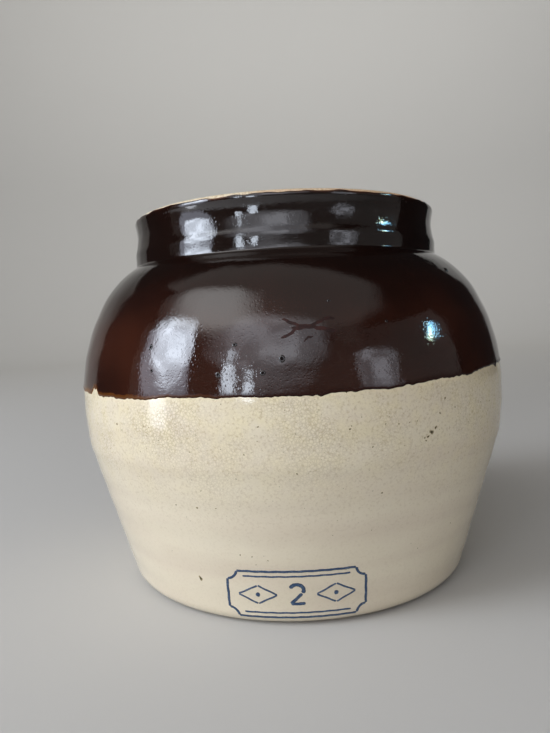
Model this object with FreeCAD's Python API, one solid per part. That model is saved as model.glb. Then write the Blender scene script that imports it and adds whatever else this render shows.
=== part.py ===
"""Two-quart stoneware bean pot: a one-piece fired clay body with its glaze coats and its stamped mark.

The pot stands on its foot ring at z = 0, its axis is Z, and the front with the capacity mark faces -Y.
Lengths are millimetres. Every round profile is a chain of tangent arcs in the (radius, height) half plane,
and each coat is the space between two copies of that chain, one grown a little more than the other.
"""

import FreeCAD
import Part

import math
import os

# Outside of the glazed pot
BELLY_RADIUS = 87.4
BELLY_HEIGHT = 74.6
UPPER_SHOULDER_ARC = 37.0
LOWER_SHOULDER_ARC = 75.7
SHOULDER_CHANGE_DEG = 30.0
LOWER_BELLY_ARC = 105.0
CREASE_ARC = 12.0
CREASE_START_DEG = 9.2
TAPER_DEG = 16.0
HEEL_ARC = 7.0

# Neck and lip
NECK_RADIUS = 62.85
NECK_ROOT_ARC = 1.5
RIDGE_HEIGHT = 131.0
RIDGE_ARC = 8.0
COVE_ARC = 20.0
COVE_DEG = 16.1
FLARE_DEG = 14.8
LIP_ARC = 2.4
MOUTH_RADIUS = 56.0
MOUTH_EDGE_ARC = 1.7
MOUTH_ROOT_ARC = 4.0

# Wall, floor and foot
WALL = 7.5
FLOOR_HEIGHT = 8.6
FLOOR_ARC = 13.0
FOOT_INNER_RADIUS = 52.0
FOOT_RECESS = 1.2
FOOT_CHAMFER = 1.6

# Glaze coats
GLAZE = 0.35
INSIDE_GLAZE = 0.2
BROWN_EXTRA = 0.15
GLAZE_LINE_HEIGHT = 81.1
GLAZE_LINE_TILT_DEG = 1.5
LIP_BARE_FROM_DEG = 28.0
MOUTH_BARE_FROM_DEG = 130.0
FOOT_WIPED_TO = 0.6

# Capacity mark, drawn in the plane of the front view
MARK = 0.12
MARK_STROKE = 0.8
MARK_FINE = 0.55
PANEL_CENTRE = (-1.0, 12.6)
PANEL_HALF_LENGTH = 23.0
PANEL_HALF_HEIGHT = 8.9
PANEL_NOTCH = 3.2
PANEL_RULE_INSET = 1.9
NUMERAL_HEIGHT = 8.0
NUMERAL_BOWL = 2.2
LOZENGE_OFFSET = 13.0
LOZENGE_HALF = (6.5, 3.6)
LOZENGE_DOT = 0.9

BIG = 400.0


def polar(centre, radius, degrees):
    """The point at that radius and angle from a centre of the half plane."""
    turn = math.radians(degrees)
    return (centre[0] + radius * math.cos(turn), centre[1] + radius * math.sin(turn))


def at(point):
    """A point of the half plane as a point of the XZ plane."""
    return FreeCAD.Vector(point[0], 0, point[1])


def line(start, end):
    return Part.makeLine(at(start), at(end))


def arc(centre, radius, start_deg, end_deg):
    """An arc of the half plane, from one angle to the other."""
    ends = [polar(centre, radius, start_deg), polar(centre, radius, end_deg)]
    middle = polar(centre, radius, (start_deg + end_deg) / 2)
    return Part.Arc(at(ends[0]), at(middle), at(ends[1])).toShape()


def chain(pieces):
    """Arcs given as (centre, radius, start, end), in order, with straight lines where they don't touch."""
    edges = []
    last = None
    for centre, radius, start, end in pieces:
        first = polar(centre, radius, start)
        if last and math.dist(last, first) > 1e-6:
            edges.append(line(last, first))
        edges.append(arc(centre, radius, start, end))
        last = polar(centre, radius, end)
    return edges


# Centres of the tangent arcs, all on the glazed surface
lower_shoulder = (BELLY_RADIUS - LOWER_SHOULDER_ARC, BELLY_HEIGHT)
upper_shoulder = polar(lower_shoulder, LOWER_SHOULDER_ARC - UPPER_SHOULDER_ARC, SHOULDER_CHANGE_DEG)
root_reach = UPPER_SHOULDER_ARC + NECK_ROOT_ARC
root_across = NECK_RADIUS + NECK_ROOT_ARC - upper_shoulder[0]
neck_root = (NECK_RADIUS + NECK_ROOT_ARC, upper_shoulder[1] + math.sqrt(root_reach**2 - root_across**2))
root_deg = math.degrees(math.acos(root_across / root_reach))
ridge = (NECK_RADIUS - RIDGE_ARC, RIDGE_HEIGHT)
cove = polar(ridge, RIDGE_ARC + COVE_ARC, COVE_DEG)
lip = polar(cove, COVE_ARC + LIP_ARC, 180 - FLARE_DEG)
RIM_TOP = lip[1] + LIP_ARC - GLAZE
lower_belly = (BELLY_RADIUS - LOWER_BELLY_ARC, BELLY_HEIGHT)
crease = polar(lower_belly, LOWER_BELLY_ARC - CREASE_ARC, -CREASE_START_DEG)


def taper_centre(inset, height):
    """Centre of an arc that touches the tapered wall's inside at a distance inset from it, at that height."""
    lean = math.radians(TAPER_DEG)
    along = crease[0] * math.cos(lean) - crease[1] * math.sin(lean) + CREASE_ARC - inset
    return ((along + height * math.sin(lean)) / math.cos(lean), height)


heel = taper_centre(HEEL_ARC, HEEL_ARC)
floor_corner = taper_centre(WALL + FLOOR_ARC, FLOOR_HEIGHT + FLOOR_ARC)
mouth_edge = (MOUTH_RADIUS + MOUTH_EDGE_ARC, RIM_TOP + INSIDE_GLAZE - MOUTH_EDGE_ARC)
inner_shoulder = UPPER_SHOULDER_ARC - WALL
mouth_across = MOUTH_RADIUS + MOUTH_ROOT_ARC - upper_shoulder[0]
mouth_rise = math.sqrt((inner_shoulder + MOUTH_ROOT_ARC) ** 2 - mouth_across**2)
mouth_root = (MOUTH_RADIUS + MOUTH_ROOT_ARC, upper_shoulder[1] + mouth_rise)
mouth_root_deg = math.degrees(math.atan2(mouth_rise, mouth_across))


def outside(grow, lip_end=90.0):
    """Outer surface from the heel up to the lip, grown outwards by that much."""
    return [
        (heel, HEEL_ARC + grow, -90, -TAPER_DEG),
        (crease, CREASE_ARC + grow, -TAPER_DEG, -CREASE_START_DEG),
        (lower_belly, LOWER_BELLY_ARC + grow, -CREASE_START_DEG, 0),
        (lower_shoulder, LOWER_SHOULDER_ARC + grow, 0, SHOULDER_CHANGE_DEG),
        (upper_shoulder, UPPER_SHOULDER_ARC + grow, SHOULDER_CHANGE_DEG, root_deg),
        (neck_root, NECK_ROOT_ARC - grow, 180 + root_deg, 180),
        (ridge, RIDGE_ARC + grow, 0, COVE_DEG),
        (cove, COVE_ARC - grow, 180 + COVE_DEG, 180 - FLARE_DEG),
        (lip, LIP_ARC + grow, -FLARE_DEG, lip_end),
    ]


def inside(cover, mouth_start=90.0):
    """Inner surface from the rim down to the floor, that far behind the glazed surface."""
    return [
        (mouth_edge, MOUTH_EDGE_ARC - cover, mouth_start, 180),
        (mouth_root, MOUTH_ROOT_ARC - cover, 180, 180 + mouth_root_deg),
        (upper_shoulder, inner_shoulder + cover, mouth_root_deg, SHOULDER_CHANGE_DEG),
        (lower_shoulder, LOWER_SHOULDER_ARC - WALL + cover, SHOULDER_CHANGE_DEG, 0),
        (lower_belly, LOWER_BELLY_ARC - WALL + cover, 0, -CREASE_START_DEG),
        (crease, CREASE_ARC - WALL + cover, -CREASE_START_DEG, -TAPER_DEG),
        (floor_corner, FLOOR_ARC + cover, -TAPER_DEG, -90),
    ]


def ends(pieces):
    """First and last point of a chain."""
    return polar(*pieces[0][:3]), polar(*pieces[-1][:2], pieces[-1][3])


def turned(edges):
    """The solid that a closed outline sweeps round the Z axis."""
    face = Part.Face(Part.Wire(Part.__sortEdges__(edges)))
    return face.revolve(FreeCAD.Vector(0, 0, 0), FreeCAD.Vector(0, 0, 1), 360)


def clay_body():
    """Fired body: wall, floor, neck and lip, bare on the rim and on the foot ring."""
    outer = outside(-GLAZE)
    inner = inside(INSIDE_GLAZE)
    heel_end, lip_end = ends(outer)
    mouth_end, floor_end = ends(inner)
    foot = [
        (0, floor_end[1]),
        (0, FOOT_RECESS),
        (FOOT_INNER_RADIUS - FOOT_CHAMFER, FOOT_RECESS),
        (FOOT_INNER_RADIUS, 0),
        (heel_end[0], 0),
        heel_end,
    ]
    edges = chain(outer) + [line(lip_end, mouth_end)] + chain(inner) + [line(floor_end, foot[0])]
    edges += [line(a, b) for a, b in zip(foot, foot[1:])]
    return turned(edges)


def coat(skin, back):
    """The space between two chains, closed at both ends."""
    skin_ends, back_ends = ends(skin), ends(back)
    edges = chain(skin) + chain(back)
    edges += [line(skin_ends[0], back_ends[0]), line(skin_ends[1], back_ends[1])]
    return turned(edges)


def above_glaze_line():
    """Everything above the slanting line where the brown coat meets the cream one."""
    block = Part.makeBox(BIG, BIG, BIG, FreeCAD.Vector(-BIG / 2, -BIG / 2, 0))
    block.rotate(FreeCAD.Vector(0, 0, 0), FreeCAD.Vector(0, 1, 0), -GLAZE_LINE_TILT_DEG)
    block.translate(FreeCAD.Vector(0, 0, GLAZE_LINE_HEIGHT))
    return block


def brown_glaze():
    """Dark glossy coat over the shoulder and neck, up to the wiped lip."""
    whole = coat(outside(BROWN_EXTRA, LIP_BARE_FROM_DEG), outside(-GLAZE, LIP_BARE_FROM_DEG))
    return whole.common(above_glaze_line())


def cream_glaze():
    """Pale coat from the brown coat's edge down to the wiped heel."""
    whole = coat(outside(0, LIP_BARE_FROM_DEG), outside(-GLAZE, LIP_BARE_FROM_DEG))
    wiped = Part.makeBox(BIG, BIG, FOOT_WIPED_TO + BIG, FreeCAD.Vector(-BIG / 2, -BIG / 2, -BIG))
    return whole.cut(above_glaze_line()).cut(wiped)


def inside_glaze():
    """Dark glossy coat over the whole inside, closed across the floor."""
    skin, back = inside(0, MOUTH_BARE_FROM_DEG), inside(INSIDE_GLAZE, MOUTH_BARE_FROM_DEG)
    skin_ends, back_ends = ends(skin), ends(back)
    edges = chain(skin) + chain(back)
    edges += [line(skin_ends[0], back_ends[0])]
    edges += [line(skin_ends[1], (0, skin_ends[1][1])), line(back_ends[1], (0, back_ends[1][1]))]
    edges += [line((0, skin_ends[1][1]), (0, back_ends[1][1]))]
    return turned(edges)


def prism(edges):
    """A flat outline of the front view as a block that reaches through the front wall."""
    return Part.Face(Part.Wire(Part.__sortEdges__(edges))).extrude(FreeCAD.Vector(0, -BIG / 2, 0))


def bar(start, end, width):
    """A straight stroke."""
    length = math.dist(start, end)
    across = ((start[1] - end[1]) / length * width / 2, (end[0] - start[0]) / length * width / 2)
    corners = [
        (start[0] + across[0], start[1] + across[1]),
        (end[0] + across[0], end[1] + across[1]),
        (end[0] - across[0], end[1] - across[1]),
        (start[0] - across[0], start[1] - across[1]),
    ]
    return prism([line(a, b) for a, b in zip(corners, corners[1:] + corners[:1])])


def bow(centre, radius, start_deg, end_deg, width):
    """A stroke along an arc."""
    rims = [arc(centre, radius + side * width / 2, start_deg, end_deg) for side in (1, -1)]
    caps = [
        line(polar(centre, radius + width / 2, angle), polar(centre, radius - width / 2, angle))
        for angle in (start_deg, end_deg)
    ]
    return prism(rims + caps)


def dot(centre, radius):
    """A round spot."""
    return prism([arc(centre, radius, 0, 180), arc(centre, radius, 180, 360)])


def in_panel(across, up):
    """A point given from the middle of the marked panel."""
    return (PANEL_CENTRE[0] + across, PANEL_CENTRE[1] + up)


def numeral():
    """A plain figure 2: a bowl, a slanting stroke and a foot."""
    bowl = in_panel(0, NUMERAL_HEIGHT / 2 - NUMERAL_BOWL)
    turn_end = polar(bowl, NUMERAL_BOWL, -35)
    foot_left = in_panel(-NUMERAL_BOWL, (MARK_STROKE - NUMERAL_HEIGHT) / 2)
    foot_right = in_panel(1.3 * NUMERAL_BOWL, (MARK_STROKE - NUMERAL_HEIGHT) / 2)
    return [
        bow(bowl, NUMERAL_BOWL, -35, 165, 1.5 * MARK_STROKE),
        bar(turn_end, foot_left, 1.3 * MARK_STROKE),
        bar(foot_left, foot_right, 1.3 * MARK_STROKE),
    ]


def frame_side(side):
    """One end of the panel's outline: an upright with a notched corner above and below."""
    strokes = []
    end = side * PANEL_HALF_LENGTH
    tall = PANEL_HALF_HEIGHT - PANEL_NOTCH
    strokes.append(bar(in_panel(end, -tall), in_panel(end, tall), MARK_STROKE))
    for level, start in ((1, 180 if side > 0 else 270), (-1, 90 if side > 0 else 0)):
        corner = in_panel(end, level * PANEL_HALF_HEIGHT)
        strokes.append(bow(corner, PANEL_NOTCH, start, start + 90, MARK_STROKE))
    return strokes


def lozenge(side):
    """A diamond with a spot in it, beside the figure. Side is 1 for the right and -1 for the left."""
    middle = side * LOZENGE_OFFSET
    wide, tall = LOZENGE_HALF
    tips = [in_panel(middle + a * wide, b * tall) for a, b in ((1, 0), (0, 1), (-1, 0), (0, -1))]
    strokes = [bar(a, b, MARK_FINE) for a, b in zip(tips, tips[1:] + tips[:1])]
    return strokes + [dot(in_panel(middle, 0), LOZENGE_DOT)]


def capacity_mark():
    """Stamped blue mark on the front: a figure 2 between two lozenges, in a panel with notched corners."""
    strokes = numeral()
    for side in (1, -1):
        strokes += frame_side(side) + lozenge(side)
        long_end = PANEL_HALF_LENGTH - PANEL_NOTCH
        fine_end = long_end - PANEL_RULE_INSET
        edge = side * PANEL_HALF_HEIGHT
        inner = side * (PANEL_HALF_HEIGHT - PANEL_RULE_INSET)
        strokes.append(bar(in_panel(-long_end, edge), in_panel(long_end, edge), MARK_STROKE))
        strokes.append(bar(in_panel(-fine_end, inner), in_panel(fine_end, inner), MARK_FINE))
    return coat(outside(MARK), outside(0)).common(strokes[0].multiFuse(strokes[1:]))


NODES = {
    "clay_body": clay_body,
    "brown_glaze": brown_glaze,
    "cream_glaze": cream_glaze,
    "inside_glaze": inside_glaze,
    "capacity_mark": capacity_mark,
}

os.makedirs("parts", exist_ok=True)
for name, make in NODES.items():
    shape = make()
    solids = shape.Solids
    result = solids[0] if len(solids) == 1 else Part.makeCompound(solids)
    result.exportStep(f"parts/{name}.step")
    volume = sum(solid.Volume for solid in solids)
    sound = all(solid.isValid() and solid.isClosed() for solid in solids)
    box = result.BoundBox
    print(f"{name}: {len(solids)} solids, {volume / 1000:.2f} cm3, sound {sound}, {box}")
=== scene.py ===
"""A two-quart stoneware bean pot: buff clay, cream glaze below, dark brown slip glaze above and inside."""

import math

import bpy
import numpy as np
from mathutils import Matrix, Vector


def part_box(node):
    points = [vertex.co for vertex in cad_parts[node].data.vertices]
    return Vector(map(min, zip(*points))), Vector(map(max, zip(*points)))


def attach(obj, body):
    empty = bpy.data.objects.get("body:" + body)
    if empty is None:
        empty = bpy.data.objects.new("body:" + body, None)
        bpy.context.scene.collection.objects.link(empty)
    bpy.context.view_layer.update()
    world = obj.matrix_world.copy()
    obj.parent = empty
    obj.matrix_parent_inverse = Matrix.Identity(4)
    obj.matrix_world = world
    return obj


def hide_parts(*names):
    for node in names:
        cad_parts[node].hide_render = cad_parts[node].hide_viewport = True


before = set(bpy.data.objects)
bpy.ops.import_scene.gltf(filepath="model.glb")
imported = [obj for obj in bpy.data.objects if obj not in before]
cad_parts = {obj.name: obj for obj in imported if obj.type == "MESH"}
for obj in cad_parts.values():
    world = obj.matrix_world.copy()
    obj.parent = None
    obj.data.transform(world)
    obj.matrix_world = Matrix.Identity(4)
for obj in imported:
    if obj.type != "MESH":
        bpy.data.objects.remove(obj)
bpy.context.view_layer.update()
MM = 0.001


# Clay body. One piece of buff stoneware, pressed in a turning mould and sponged smooth, then fired hard.
# It shows only where the glaze was wiped off it: a sandy tan line round the top of the lip, and the foot.

# Sizes are in mm. An arc is given by its radius, and a change, start, taper, turn or flare in degrees.
BELLY_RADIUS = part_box("cream_glaze")[1].y / MM
BELLY_HEIGHT = 74.6
SHOULDER_ARCS = (75.7, 37.0)
SHOULDER_CHANGE = 30.0
BELLY_ARC = 105.0
CREASE_ARC = 12.0
CREASE_START = 9.2
TAPER = 16.0
HEEL_ARC = 7.0
NECK_RADIUS = 62.85
NECK_ROOT_ARC = 1.5
RIDGE_HEIGHT = 131.0
RIDGE_ARC = 8.0
COVE_ARC = 20.0
COVE_TURN = 16.1
FLARE = 14.8
LIP_ARC = 2.4
MOUTH_RADIUS = 56.0
MOUTH_EDGE_ARC = 1.7
MOUTH_ROOT_ARC = 4.0
WALL = 7.5
FLOOR_HEIGHT = 8.6
FLOOR_ARC = 13.0
GLAZE = 0.35
INSIDE_GLAZE = 0.2

# The neck's sideways slip grows between two heights, and the wall's stray fades over the other two pairs.
NECK_SLIP = -0.45
SLIPPED = (112, 128)
FOOT_TRIM = (0, 9)
RIM_TRIM = (147, 135)

# Waves are a seed, the shortest and the longest in mm, and how many, where that isn't 28.
WAVE_RADIUS = 80.0
SWELLS = (3, 45, 190)
SWELL = 0.14
MOULD_BAND = 0.05
MOULD_PITCH = 11.0

# A step along an arc is in mm of its radius times degrees, so that 3 is 0.05 mm. POLE_GAP and HEEL_JOIN
# are where the clay's rings start, and TUCK is how deep one skin is sunk into another.
ARC_STEP = 3.0
COLUMNS = 1080
CLAY_COLUMN_STEP = 4
POLE_GAP = 0.5
HEEL_JOIN = 4.4
TUCK = 0.02


def away(centre, radius, degrees):
    """The point at that radius and angle from a centre, in the half plane of radius and height."""
    turn = math.radians(degrees)
    return (centre[0] + radius * math.cos(turn), centre[1] + radius * math.sin(turn))


def on_taper(inset, height):
    """The centre, at that height, of an arc that touches the tapered wall from inside, less an inset."""
    lean = math.radians(TAPER)
    along = crease[0] * math.cos(lean) - crease[1] * math.sin(lean) + CREASE_ARC - inset
    return ((along + height * math.sin(lean)) / math.cos(lean), height)


lower_shoulder = (BELLY_RADIUS - SHOULDER_ARCS[0], BELLY_HEIGHT)
upper_shoulder = away(lower_shoulder, SHOULDER_ARCS[0] - SHOULDER_ARCS[1], SHOULDER_CHANGE)
root_across = NECK_RADIUS + NECK_ROOT_ARC - upper_shoulder[0]
root_turn = math.degrees(math.acos(root_across / (SHOULDER_ARCS[1] + NECK_ROOT_ARC)))
neck_root = away(upper_shoulder, SHOULDER_ARCS[1] + NECK_ROOT_ARC, root_turn)
ridge = (NECK_RADIUS - RIDGE_ARC, RIDGE_HEIGHT)
cove = away(ridge, RIDGE_ARC + COVE_ARC, COVE_TURN)
lip = away(cove, COVE_ARC + LIP_ARC, 180 - FLARE)
belly = (BELLY_RADIUS - BELLY_ARC, BELLY_HEIGHT)
crease = away(belly, BELLY_ARC - CREASE_ARC, -CREASE_START)
heel = on_taper(HEEL_ARC, HEEL_ARC)
floor_corner = on_taper(WALL + FLOOR_ARC, FLOOR_HEIGHT + FLOOR_ARC)
mouth_edge = (MOUTH_RADIUS + MOUTH_EDGE_ARC, lip[1] + LIP_ARC - GLAZE + INSIDE_GLAZE - MOUTH_EDGE_ARC)
mouth_across = MOUTH_RADIUS + MOUTH_ROOT_ARC - upper_shoulder[0]
mouth_turn = math.degrees(math.acos(mouth_across / (SHOULDER_ARCS[1] - WALL + MOUTH_ROOT_ARC)))
mouth_root = away(upper_shoulder, SHOULDER_ARCS[1] - WALL + MOUTH_ROOT_ARC, mouth_turn)

# Each arc is a centre, a radius, the two angles it runs between, and 1 where it bulges out of the clay or
# -1 where it is a hollow. One of no radius is a corner.
OUTSIDE = [
    (heel, HEEL_ARC, -90, -TAPER, 1),
    (crease, CREASE_ARC, -TAPER, -CREASE_START, 1),
    (belly, BELLY_ARC, -CREASE_START, 0, 1),
    (lower_shoulder, SHOULDER_ARCS[0], 0, SHOULDER_CHANGE, 1),
    (upper_shoulder, SHOULDER_ARCS[1], SHOULDER_CHANGE, root_turn, 1),
    (neck_root, NECK_ROOT_ARC, 180 + root_turn, 180, -1),
    (ridge, RIDGE_ARC, 0, COVE_TURN, 1),
    (cove, COVE_ARC, 180 + COVE_TURN, 180 - FLARE, -1),
    (lip, LIP_ARC, -FLARE, 90, 1),
]
INSIDE = [
    (mouth_edge, MOUTH_EDGE_ARC, 90, 180, 1),
    (mouth_root, MOUTH_ROOT_ARC, 180, 180 + mouth_turn, 1),
    (upper_shoulder, SHOULDER_ARCS[1] - WALL, mouth_turn, SHOULDER_CHANGE, -1),
    (lower_shoulder, SHOULDER_ARCS[0] - WALL, SHOULDER_CHANGE, 0, -1),
    (belly, BELLY_ARC - WALL, 0, -CREASE_START, -1),
    (crease, CREASE_ARC - WALL, -CREASE_START, -TAPER, -1),
    (floor_corner, FLOOR_ARC, -TAPER, -90, -1),
    ((0, FLOOR_HEIGHT), 0, -90, -90, -1),
]
FOOT = [
    ((0, 1.2), 0, -90, -90, 1),
    ((50.0, 0.4), 0.8, 90, 53, -1),
    ((52.3, 0.8), 0.8, -127, -90, 1),
    ((63.2, 1.0), 1.0, -90, -55, 1),
    (heel, HEEL_ARC - GLAZE, -70, -62, 1),
]


def path_of(arcs):
    """A chain of arcs, as rows of length so far, radius, height and the normal's two parts: centre plus
    radius times (cos a, sin a), with straight runs between arcs, and a normal out of the clay."""
    parts = []
    for centre, radius, start, end, side in arcs:
        steps = max(2, round(abs(end - start) * radius / ARC_STEP))
        turn = np.radians(np.linspace(start, end, steps))
        point = np.stack([centre[0] + radius * np.cos(turn), centre[1] + radius * np.sin(turn)])
        parts.append(np.concatenate([point, side * np.cos(turn)[None], side * np.sin(turn)[None]]))
    chain = np.concatenate(parts, axis=1)
    length = np.concatenate([[0], np.cumsum(np.hypot(*np.diff(chain[:2], axis=1)))])
    return np.concatenate([length[None], chain])


def spread(path, first, last, count, bend=5.0):
    """Places along a path between two lengths, closer where it bends: even steps of its length plus its
    turning, with each radian counted as that many mm."""
    inner = (path[0] > first) & (path[0] < last)
    fine = np.concatenate([[first], path[0][inner], [last]])
    heading = np.unwrap(np.arctan2(path[4], path[3]))
    turning = np.abs(np.diff(np.interp(fine, path[0], heading)))
    cost = np.concatenate([[0], np.cumsum(np.diff(fine) + bend * turning)])
    return np.interp(np.linspace(0, cost[-1], count), cost, fine)


def height_at(path, place):
    """The height of a path at a length along it."""
    return np.interp(place, path[0], path[2])


def part_way(value, start, end):
    """How far a value has come from a start to an end: 0 before the one, 1 past the other."""
    return np.clip((value - start) / (end - start), 0, 1)


def turned(radius, height, turn, slip=0):
    """Points in mm at a radius and height, turned round an upright axis that stands slip along X."""
    across = radius * np.cos(turn) + slip
    return np.stack(np.broadcast_arrays(across, radius * np.sin(turn), height), axis=-1)


def surface(path, place, lift, turn):
    """Points of a path turned round the Z axis, at lengths along it and heights off it, one row per ring.
    Above the shoulder the axis slips sideways, as the neck of the real pot does."""
    radius, height, out, up = (np.interp(place, path[0], row) for row in path[1:])
    radius, height = radius + out * lift, height + up * lift
    return turned(radius, height, turn, NECK_SLIP * part_way(height, *SLIPPED))


def wander(turn, height, seed, shortest, longest, count=28):
    """A smooth field over the pot, about 1 deep: the sum of count waves sin(n * turn + k * height +
    phase), with lengths in mm between the two given and a whole number n of each round the pot."""
    draw = np.random.default_rng(seed)
    lengths = longest * (shortest / longest) ** draw.random(count)
    leans, phases = draw.uniform(0, math.pi, count), draw.uniform(0, 2 * math.pi, count)
    total = 0
    for length, lean, phase in zip(lengths, leans, phases):
        around = round(2 * math.pi * WAVE_RADIUS / length * math.cos(lean))
        total = total + np.sin(around * turn + 2 * math.pi / length * math.sin(lean) * height + phase)
    return total / math.sqrt(count)


def stray(turn, height):
    """How far in mm the pressed wall stands off a true round: broad flats and swells, and the mould's
    faint bands. It fades out at the foot and the rim, which are trimmed level."""
    bands = MOULD_BAND * np.sin(height * 2 * math.pi / MOULD_PITCH + 0.6 * np.sin(turn))
    swells = SWELL * wander(turn, height, *SWELLS)
    return (swells + bands) * (part_way(height, *FOOT_TRIM) * part_way(height, *RIM_TRIM))


def put(name, data):
    """A new object in the scene, at the origin."""
    made = bpy.data.objects.new(name, data)
    bpy.context.scene.collection.objects.link(made)
    return made


def mesh_piece(name, points, sides, values=None):
    """A smooth piece of points in mm and faces that number them, with named values for its points."""
    mesh = bpy.data.meshes.new(name)
    mesh.from_pydata((points.reshape(-1, 3) * MM).tolist(), [], sides)
    for key, field in (values or {}).items():
        each = np.asarray(field, np.float32).ravel()
        mesh.attributes.new(key, "FLOAT", "POINT").data.foreach_set("value", each)
    mesh.shade_smooth()
    return put(name, mesh)


def faces(*corners):
    """Faces as lists of point numbers, from arrays of their first corners, of their second, and so on."""
    return np.stack(np.broadcast_arrays(*corners), axis=-1).reshape(-1, len(corners)).tolist()


def onward(index):
    """The next point round the ring, for each."""
    return np.roll(index, -1, axis=-1)


def skin(name, rings, closed=False, values=None):
    """A mesh through rings of points. Each face takes two neighbours of one ring, then of the next, so
    rings that climb face outwards. A closed one joins its last ring to its first. Otherwise both ends
    shrink to a pole."""
    index = np.arange(rings.size // 3).reshape(rings.shape[:2])
    lower = index if closed else index[:-1]
    upper = np.roll(index, -1, axis=0) if closed else index[1:]
    sides = faces(lower, onward(lower), onward(upper), upper)
    points = rings.reshape(-1, 3)
    if not closed:
        base, tip = len(points), len(points) + 1
        points = np.concatenate([points, rings[0].mean(0)[None], rings[-1].mean(0)[None]])
        sides += faces(base, onward(index[0]), index[0]) + faces(tip, index[-1], onward(index[-1]))
    return mesh_piece(name, points, sides, values)


def colour(code):
    """A written sRGB colour in linear light: a dark channel over 12.92, any other to the power 2.4."""
    parts = [int(code[k : k + 2], 16) / 255 for k in (1, 3, 5)]
    return (*(c / 12.92 if c < 0.04045 else ((c + 0.055) / 1.055) ** 2.4 for c in parts), 1.0)


def finish(name):
    """A new material with its surface shader."""
    material = bpy.data.materials.new(name)
    material.use_nodes = True
    return material, material.node_tree.nodes["Principled BSDF"]


def socket_of(sockets, key):
    """The socket of that name or number, among those that a node shows."""
    shown = [socket for socket in sockets if socket.enabled]
    return shown[key] if isinstance(key, int) else next(socket for socket in shown if socket.name == key)


def feed(material, node, inputs):
    """Joins outputs to the inputs named or numbered, or sets those inputs to plain values."""
    for key, value in inputs.items():
        if isinstance(value, bpy.types.NodeSocket):
            material.node_tree.links.new(value, socket_of(node.inputs, key))
        else:
            socket_of(node.inputs, key).default_value = value


def add(material, kind, inputs=None, give=0, **settings):
    """Adds a node with its settings, feeds its inputs, and gives back one of its outputs."""
    node = material.node_tree.nodes.new("ShaderNode" + kind)
    for key, value in settings.items():
        setattr(node, key, value)
    feed(material, node, inputs or {})
    return socket_of(node.outputs, give)


turn = np.linspace(0, 2 * math.pi, COLUMNS, endpoint=False)[None]
outer = path_of(OUTSIDE)
inner = path_of(INSIDE)
foot = path_of(FOOT)

clay_turn = turn[:, ::CLAY_COLUMN_STEP]
foot_rows = spread(foot, POLE_GAP, foot[0][-1], 26)[:, None]
outer_rows = spread(outer, HEEL_JOIN, outer[0][-1], 30)[:, None]
inner_rows = spread(inner, 0.0, inner[0][-1] - POLE_GAP, 34)[:, None]
outer_stray = stray(clay_turn, height_at(outer, outer_rows))
clay_rings = np.concatenate([
    surface(foot, foot_rows, 0, clay_turn),
    surface(outer, outer_rows, outer_stray - GLAZE - TUCK, clay_turn),
    surface(inner, inner_rows, -INSIDE_GLAZE - TUCK, clay_turn),
])

# Buff stoneware: iron-bearing clay fired to a hard, sandy tan, with rusty patches, darker and more rusty
# towards the right. Here and below, a pattern's scale counts its cells in a metre, so the sand is some
# 0.6 mm across.
buff, shader = finish("buff_stoneware_fired")
where = add(buff, "TexCoord", give="Object")
across = add(buff, "SeparateXYZ", {"Vector": where}, give="X")
# The tan turns darker and more rusty towards the right.
to_the_right = add(buff, "MapRange", {
    "Value": across, "From Min": -0.02, "From Max": 0.06, "To Min": -0.45, "To Max": 0.3,
})
licks = add(buff, "TexNoise", {"Vector": where, "Scale": 60.0, "Detail": 3.0})
rusty_share = add(buff, "Math", {0: licks, 1: to_the_right}, operation="ADD", use_clamp=True)
sand = add(buff, "TexNoise", {"Vector": where, "Scale": 1800.0, "Detail": 4.0})
tan = add(buff, "Mix", {"Factor": rusty_share, "A": colour("#ddd0b2"), "B": colour("#c08a5a")}, data_type="RGBA")
grit = add(buff, "MapRange", {
    "Value": sand, "From Min": 0.36, "From Max": 0.52, "To Min": 0.6, "To Max": 0.0,
})
sandy = add(buff, "Mix", {"Factor": grit, "A": tan, "B": colour("#8d6a48")}, data_type="RGBA")
grain = add(buff, "Bump", {"Height": sand, "Strength": 0.5, "Distance": 0.00012})
feed(buff, shader, {"Base Color": sandy, "Normal": grain, "Roughness": 0.85})

clay_body = skin("fired_clay_body", clay_rings)
clay_body.data.materials.append(buff)
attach(clay_body, "root")
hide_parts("clay_body")


# Cream glaze. The pot is dipped foot first in a pale glaze that fires to a thin, satiny cream coat.
# It has cooled tighter than the clay, so fine crazing runs through it, most of all round the full belly.

CREAM_START = 0.7
CREAM_SKIN_END = 2.2
CREAM_ROWS = 84
CREAM_BACK_STEP = 14
CREAM_ROUND = 0.9
CREAM_SWELLS = (21, 8, 30)
CREAM_SWELL = 0.012
BACKING = 0.1
EDGE_FADE = 0.5

# The brown coat's edge. Its waver is in mm at turns in degrees from the front, and the chip and the drip
# are each a turn, a half width in degrees and a depth.
DIP_CENTRE = 81.63
DIP_RADIUS = 87.2
DIP_TILT = (0.0231, 0.0162)
DIP_WAVER = [
    (-140, -0.4), (-105, 0.6), (-75, 0.1), (-58, -0.2), (-33, -0.2), (-26, 0.6), (-18, 0.3), (-10, 0),
    (4, -0.6), (10, -0.3), (22, -0.5), (33, 0.3), (42, 0), (52, 1.1), (75, 0.5), (110, -0.5), (150, 0.7),
    (180, 0.2),
]
SCALLOPS = (11, 3.2, 14, 40)
SCALLOP = 0.12
LOBES = (13, 3.0, 7.0, 24)
LOBE_HEIGHT = 0.15
LOBE_DEPTH = 0.24
BEADS = (14, 1.6, 3.2, 24)
BEAD = 0.08
RUNS = (12, 5, 20, 30)
RUN = 0.4
CHIP = (-54.0, 2.5, 2.4)
DRIP = (59.0, 1.0, 1.1)


def azimuth(turn):
    """Degrees round the pot from its front, growing to the right as the front is seen."""
    return (np.degrees(turn) + 270) % 360 - 180


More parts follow.
